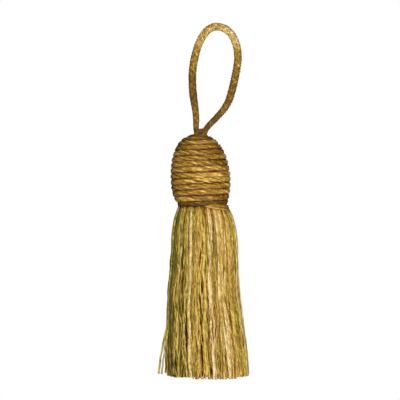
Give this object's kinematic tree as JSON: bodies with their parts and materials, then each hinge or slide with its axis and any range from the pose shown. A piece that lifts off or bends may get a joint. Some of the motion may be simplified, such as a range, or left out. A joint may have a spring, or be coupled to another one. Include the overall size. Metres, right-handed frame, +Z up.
{
  "type": "hanging tassel",
  "caption": "Hanging key or curtain tassel: braided cord loop, cord-wound bullet head on a turned mould, and a long full skirt of wavy threads.",
  "frame": {"origin": "the hanging point: inside the top of the cord loop", "axes": "+Z up, +X to the right seen from the front, +Y to the back; the loop lies in the XZ plane"},
  "size_m": [0.0422, 0.0422, 0.1765],
  "materials": {
    "loop_cord": "matte",
    "winding_cord": "satin",
    "whipping_thread": "matte",
    "skirt_thread": "satin",
    "mould_wood": "matte"
  },
  "bodies": {
    "loop": {"hanging_loop": "loop_cord"},
    "neck": {"neck_whipping": "whipping_thread"},
    "cord_ends": {"cord_end_left": "loop_cord", "cord_end_right": "loop_cord", "stop_knot": "loop_cord"},
    "head": {"head_mould": "mould_wood", "head_winding": "winding_cord", "skirt_heading": "skirt_thread", "heading_tie": "whipping_thread", "skirt_core": "skirt_thread", "inner_hank_1": "skirt_thread", "inner_hank_2": "skirt_thread", "inner_hank_3": "skirt_thread", "inner_hank_4": "skirt_thread", "inner_hank_5": "skirt_thread", "inner_hank_6": "skirt_thread", "inner_hank_7": "skirt_thread", "inner_hank_8": "skirt_thread"},
    "hank_01": {"skirt_hank_01": "skirt_thread"},
    "hank_02": {"skirt_hank_02": "skirt_thread"},
    "hank_03": {"skirt_hank_03": "skirt_thread"},
    "hank_04": {"skirt_hank_04": "skirt_thread"},
    "hank_05": {"skirt_hank_05": "skirt_thread"},
    "hank_06": {"skirt_hank_06": "skirt_thread"},
    "hank_07": {"skirt_hank_07": "skirt_thread"},
    "hank_08": {"skirt_hank_08": "skirt_thread"},
    "hank_09": {"skirt_hank_09": "skirt_thread"},
    "hank_10": {"skirt_hank_10": "skirt_thread"},
    "hank_11": {"skirt_hank_11": "skirt_thread"},
    "hank_12": {"skirt_hank_12": "skirt_thread"},
    "hank_13": {"skirt_hank_13": "skirt_thread"},
    "hank_14": {"skirt_hank_14": "skirt_thread"},
    "hank_15": {"skirt_hank_15": "skirt_thread"},
    "hank_16": {"skirt_hank_16": "skirt_thread"}
  },
  "joints": [
    {"name": "neck_swing_side", "type": "hinge", "parent": "loop", "child": "neck", "pos_m": [-0.0076, 0, -0.05], "axis": [0, 1, 0], "range_deg": [-40, 40]},
    {"name": "neck_swing_fore", "type": "hinge", "parent": "neck", "child": "cord_ends", "pos_m": [-0.0076, 0, -0.05], "axis": [1, 0, 0], "range_deg": [-40, 40]},
    {"name": "head_spin", "type": "hinge", "parent": "cord_ends", "child": "head", "pos_m": [-0.0076, 0, -0.05], "axis": [0, 0, 1], "range_deg": [-180, 180]},
    {"name": "hank_01_swing", "type": "hinge", "parent": "head", "child": "hank_01", "pos_m": [0.00319, 0.00215, -0.0914], "axis": [0.1951, -0.9808, 0], "range_deg": [0, 50]},
    {"name": "hank_02_swing", "type": "hinge", "parent": "head", "child": "hank_02", "pos_m": [0.00155, 0.00611, -0.0914], "axis": [0.5556, -0.8315, 0], "range_deg": [0, 50]},
    {"name": "hank_03_swing", "type": "hinge", "parent": "head", "child": "hank_03", "pos_m": [-0.00149, 0.00915, -0.0914], "axis": [0.8315, -0.5556, 0], "range_deg": [0, 50]},
    {"name": "hank_04_swing", "type": "hinge", "parent": "head", "child": "hank_04", "pos_m": [-0.00545, 0.01079, -0.0914], "axis": [0.9808, -0.1951, 0], "range_deg": [0, 50]},
    {"name": "hank_05_swing", "type": "hinge", "parent": "head", "child": "hank_05", "pos_m": [-0.00975, 0.01079, -0.0914], "axis": [0.9808, 0.1951, 0], "range_deg": [0, 50]},
    {"name": "hank_06_swing", "type": "hinge", "parent": "head", "child": "hank_06", "pos_m": [-0.01371, 0.00915, -0.0914], "axis": [0.8315, 0.5556, 0], "range_deg": [0, 50]},
    {"name": "hank_07_swing", "type": "hinge", "parent": "head", "child": "hank_07", "pos_m": [-0.01675, 0.00611, -0.0914], "axis": [0.5556, 0.8315, 0], "range_deg": [0, 50]},
    {"name": "hank_08_swing", "type": "hinge", "parent": "head", "child": "hank_08", "pos_m": [-0.01839, 0.00215, -0.0914], "axis": [0.1951, 0.9808, 0], "range_deg": [0, 50]},
    {"name": "hank_09_swing", "type": "hinge", "parent": "head", "child": "hank_09", "pos_m": [-0.01839, -0.00215, -0.0914], "axis": [-0.1951, 0.9808, 0], "range_deg": [0, 50]},
    {"name": "hank_10_swing", "type": "hinge", "parent": "head", "child": "hank_10", "pos_m": [-0.01675, -0.00611, -0.0914], "axis": [-0.5556, 0.8315, 0], "range_deg": [0, 50]},
    {"name": "hank_11_swing", "type": "hinge", "parent": "head", "child": "hank_11", "pos_m": [-0.01371, -0.00915, -0.0914], "axis": [-0.8315, 0.5556, 0], "range_deg": [0, 50]},
    {"name": "hank_12_swing", "type": "hinge", "parent": "head", "child": "hank_12", "pos_m": [-0.00975, -0.01079, -0.0914], "axis": [-0.9808, 0.1951, 0], "range_deg": [0, 50]},
    {"name": "hank_13_swing", "type": "hinge", "parent": "head", "child": "hank_13", "pos_m": [-0.00545, -0.01079, -0.0914], "axis": [-0.9808, -0.1951, 0], "range_deg": [0, 50]},
    {"name": "hank_14_swing", "type": "hinge", "parent": "head", "child": "hank_14", "pos_m": [-0.00149, -0.00915, -0.0914], "axis": [-0.8315, -0.5556, 0], "range_deg": [0, 50]},
    {"name": "hank_15_swing", "type": "hinge", "parent": "head", "child": "hank_15", "pos_m": [0.00155, -0.00611, -0.0914], "axis": [-0.5556, -0.8315, 0], "range_deg": [0, 50]},
    {"name": "hank_16_swing", "type": "hinge", "parent": "head", "child": "hank_16", "pos_m": [0.00319, -0.00215, -0.0914], "axis": [-0.1951, -0.9808, 0], "range_deg": [0, 50]}
  ]
}
